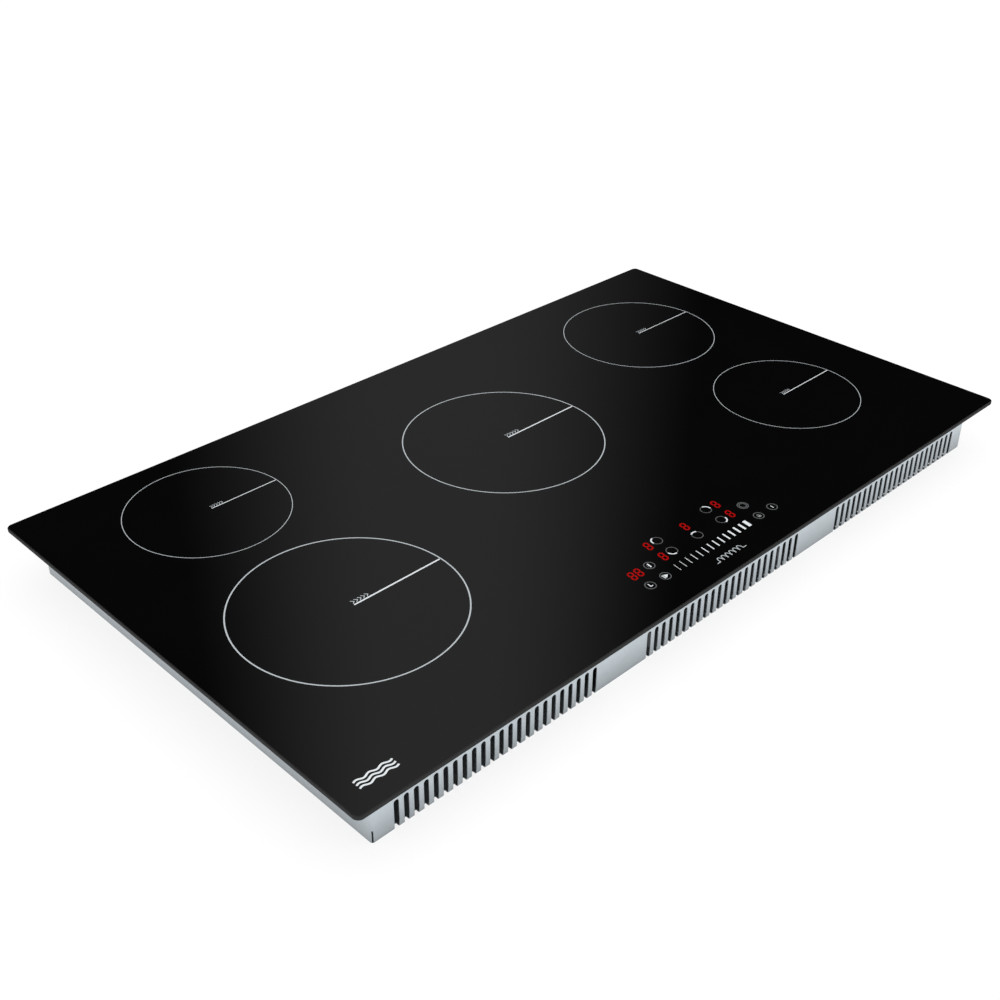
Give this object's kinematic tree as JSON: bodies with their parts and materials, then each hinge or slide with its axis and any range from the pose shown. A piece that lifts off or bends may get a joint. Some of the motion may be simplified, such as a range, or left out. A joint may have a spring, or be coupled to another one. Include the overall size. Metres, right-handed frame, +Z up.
{
  "type": "induction cooktop",
  "caption": "Built-in induction cooktop: black glass plate with printed round cooking zones and a touch panel, over a shallow slotted steel tray holding coils, power boards and fans.",
  "frame": {"origin": "underside of the steel tray, below the centre of the glass plate", "axes": "+X to the user's right along the long side, -Y towards the user and the controls, +Z up"},
  "size_m": [0.9, 0.52, 0.058],
  "materials": {
    "black_glass": "polished black glass-ceramic",
    "galvanised_steel": "satin zinc-coated sheet with a faint grain",
    "seal_foam": "closed-cell foam",
    "silicone": "cured adhesive",
    "mica": "pressed mica sheet",
    "litz_copper": "enamelled litz wire",
    "former_plastic": "glass-filled nylon",
    "ferrite": "sintered ferrite",
    "bush_silicone": "moulded silicone",
    "white_ceramic": "white ceramic and enamel",
    "aluminium_sheet": "rolled sheet",
    "aluminium_extrusion": "extruded, drawn along the fins",
    "zinc_plated_steel": "zinc-plated turned steel",
    "circuit_board": "solder mask over glass-fibre laminate",
    "black_epoxy": "moulded epoxy",
    "capacitor_case": "moulded film capacitor case",
    "choke_winding": "enamelled copper over a toroid",
    "terminal_brass": "tinned brass clamp",
    "terminal_plastic": "moulded polyamide",
    "black_plastic": "moulded, fine texture",
    "spacer_nylon": "natural nylon",
    "holder_plastic": "moulded ABS",
    "red_digits": "diffused red display face",
    "contact_foam": "conductive foam",
    "ribbon_plastic": "flat cable insulation"
  },
  "bodies": {
    "hob": {"base_tray": "galvanised_steel", "board_chokes": "choke_winding", "board_spacers": "spacer_nylon", "buzzer": "black_epoxy", "cable_bushing": "black_plastic", "carrier_plate_left": "aluminium_sheet", "carrier_plate_middle": "aluminium_sheet", "carrier_plate_right": "aluminium_sheet", "carrier_posts": "zinc_plated_steel", "coil_bushes": "bush_silicone", "coil_former_front_left": "former_plastic", "coil_former_front_right": "former_plastic", "coil_former_middle": "former_plastic", "coil_former_rear_left": "former_plastic", "coil_former_rear_right": "former_plastic", "coil_terminals": "terminal_brass", "coil_winding_front_left": "litz_copper", "coil_winding_front_right": "litz_copper", "coil_winding_middle": "litz_copper", "coil_winding_rear_left": "litz_copper", "coil_winding_rear_right": "litz_copper", "control_board": "circuit_board", "control_holder": "holder_plastic", "control_ribbon": "ribbon_plastic", "digit_displays": "red_digits", "edge_gasket": "seal_foam", "fan_housing_left": "black_plastic", "fan_housing_right": "black_plastic", "fan_screws": "zinc_plated_steel", "ferrite_bars_front_left": "ferrite", "ferrite_bars_front_right": "ferrite", "ferrite_bars_middle": "ferrite", "ferrite_bars_rear_left": "ferrite", "ferrite_bars_rear_right": "ferrite", "filter_board": "circuit_board", "filter_choke": "choke_winding", "glass_top": "black_glass", "heat_sink_left": "aluminium_extrusion", "heat_sink_middle": "aluminium_extrusion", "heat_sink_right": "aluminium_extrusion", "link_capacitors": "capacitor_case", "mains_capacitors": "capacitor_case", "mica_disc_front_left": "mica", "mica_disc_front_right": "mica", "mica_disc_middle": "mica", "mica_disc_rear_left": "mica", "mica_disc_rear_right": "mica", "panel_screws": "zinc_plated_steel", "power_board_left": "circuit_board", "power_board_middle": "circuit_board", "power_board_right": "circuit_board", "power_semiconductors": "black_epoxy", "resonant_capacitors": "capacitor_case", "silicone_bead": "silicone", "temperature_sensors": "white_ceramic", "terminal_block": "terminal_plastic", "terminal_cover": "black_plastic", "touch_contacts": "contact_foam"},
    "rotor_left": {"fan_rotor_left": "black_plastic"},
    "rotor_right": {"fan_rotor_right": "black_plastic"}
  },
  "joints": [
    {"name": "fan_spin_left", "type": "hinge", "parent": "hob", "child": "rotor_left", "pos_m": [-0.3, 0.165, 0.0108], "axis": [0, 0, 1], "continuous": true},
    {"name": "fan_spin_right", "type": "hinge", "parent": "hob", "child": "rotor_right", "pos_m": [0.3, 0.15, 0.0108], "axis": [0, 0, 1], "continuous": true}
  ]
}
